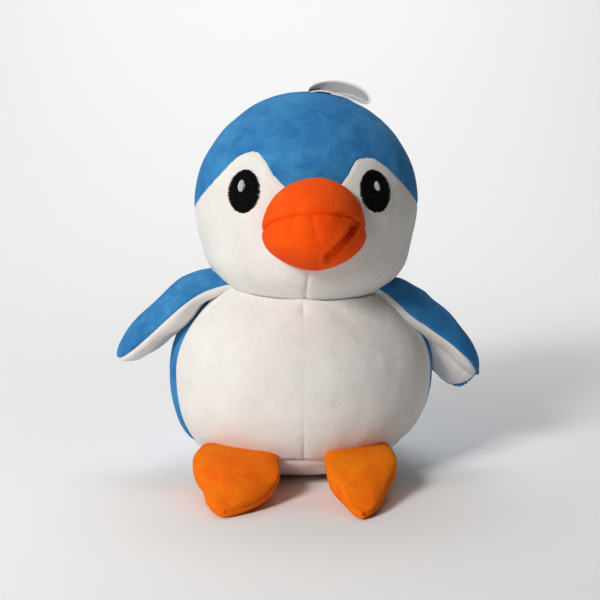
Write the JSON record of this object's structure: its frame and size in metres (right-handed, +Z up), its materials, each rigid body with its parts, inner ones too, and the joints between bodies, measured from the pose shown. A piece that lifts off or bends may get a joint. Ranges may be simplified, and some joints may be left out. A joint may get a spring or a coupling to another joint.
{
  "type": "plush penguin",
  "caption": "Soft stuffed penguin that sits on a flat round base, with a turning head, sewn wings, padded feet, a soft beak and a ribbon hanging loop.",
  "frame": {"origin": "on the floor, at the middle of the flat base", "axes": "+Z up through the head; the penguin faces -Y; +X is to the right of someone who faces it"},
  "size_m": [0.2402, 0.1787, 0.2476],
  "materials": {
    "blue_plush": "short brushed pile with lighter and darker patches",
    "white_plush": "short brushed pile, slightly warm white",
    "orange_plush": "short brushed pile",
    "black_thread": "dense satin-stitch embroidery",
    "white_thread": "satin-stitch embroidery",
    "satin_ribbon": "woven satin ribbon, soft gloss",
    "sewing_thread": "twisted polyester thread",
    "stuffing": "loose white fibre"
  },
  "bodies": {
    "root": {"belly_left": "white_plush", "belly_right": "white_plush", "back_left": "blue_plush", "back_right": "blue_plush", "base_panel": "white_plush", "body_filling": "stuffing", "closing_stitches": "sewing_thread"},
    "neck": {"neck_filling": "stuffing"},
    "head": {"face_left": "white_plush", "face_right": "white_plush", "forehead_cap": "blue_plush", "head_back_left": "blue_plush", "head_back_right": "blue_plush", "head_filling": "stuffing", "eye_left": "black_thread", "eye_right": "black_thread", "eye_left_highlight": "white_thread", "eye_right_highlight": "white_thread", "beak_upper": "orange_plush", "beak_lower": "orange_plush", "beak_filling": "stuffing"},
    "hanging_loop": {"hanging_loop": "satin_ribbon"},
    "wing_left": {"wing_left_outer": "blue_plush", "wing_left_inner": "white_plush", "wing_left_filling": "stuffing"},
    "foot_left": {"foot_left_top": "orange_plush", "foot_left_sole": "orange_plush", "foot_left_filling": "stuffing"},
    "wing_right": {"wing_right_outer": "blue_plush", "wing_right_inner": "white_plush", "wing_right_filling": "stuffing"},
    "foot_right": {"foot_right_top": "orange_plush", "foot_right_sole": "orange_plush", "foot_right_filling": "stuffing"}
  },
  "joints": [
    {"name": "head_turn", "type": "hinge", "parent": "root", "child": "neck", "pos_m": [0.0039, 0, 0.162], "axis": [0, 0, 1], "range_deg": [-20, 20], "stiffness_Nm_per_rad": 0.25},
    {"name": "head_nod", "type": "hinge", "parent": "neck", "child": "head", "pos_m": [0.0039, 0, 0.162], "axis": [1, 0, 0], "range_deg": [-10, 10], "stiffness_Nm_per_rad": 0.3},
    {"name": "hanging_loop_swing", "type": "hinge", "parent": "head", "child": "hanging_loop", "pos_m": [0.0063, 0, 0.2422], "axis": [0, 1, 0], "range_deg": [-160, 0]},
    {"name": "wing_left_flap", "type": "hinge", "parent": "root", "child": "wing_left", "pos_m": [-0.056, 0, 0.1185], "axis": [0, 1, 0], "range_deg": [-5, 55], "stiffness_Nm_per_rad": 0.08},
    {"name": "wing_right_flap", "type": "hinge", "parent": "root", "child": "wing_right", "pos_m": [0.06, 0, 0.1165], "axis": [0, -1, 0], "range_deg": [-5, 55], "stiffness_Nm_per_rad": 0.08},
    {"name": "foot_left_fold", "type": "hinge", "parent": "root", "child": "foot_left", "pos_m": [-0.039, -0.0545, 0.0255], "axis": [-0.848, 0.53, 0], "range_deg": [0, 25], "stiffness_Nm_per_rad": 0.05},
    {"name": "foot_right_fold", "type": "hinge", "parent": "root", "child": "foot_right", "pos_m": [0.039, -0.0545, 0.0255], "axis": [-0.848, -0.53, 0], "range_deg": [0, 25], "stiffness_Nm_per_rad": 0.05}
  ]
}
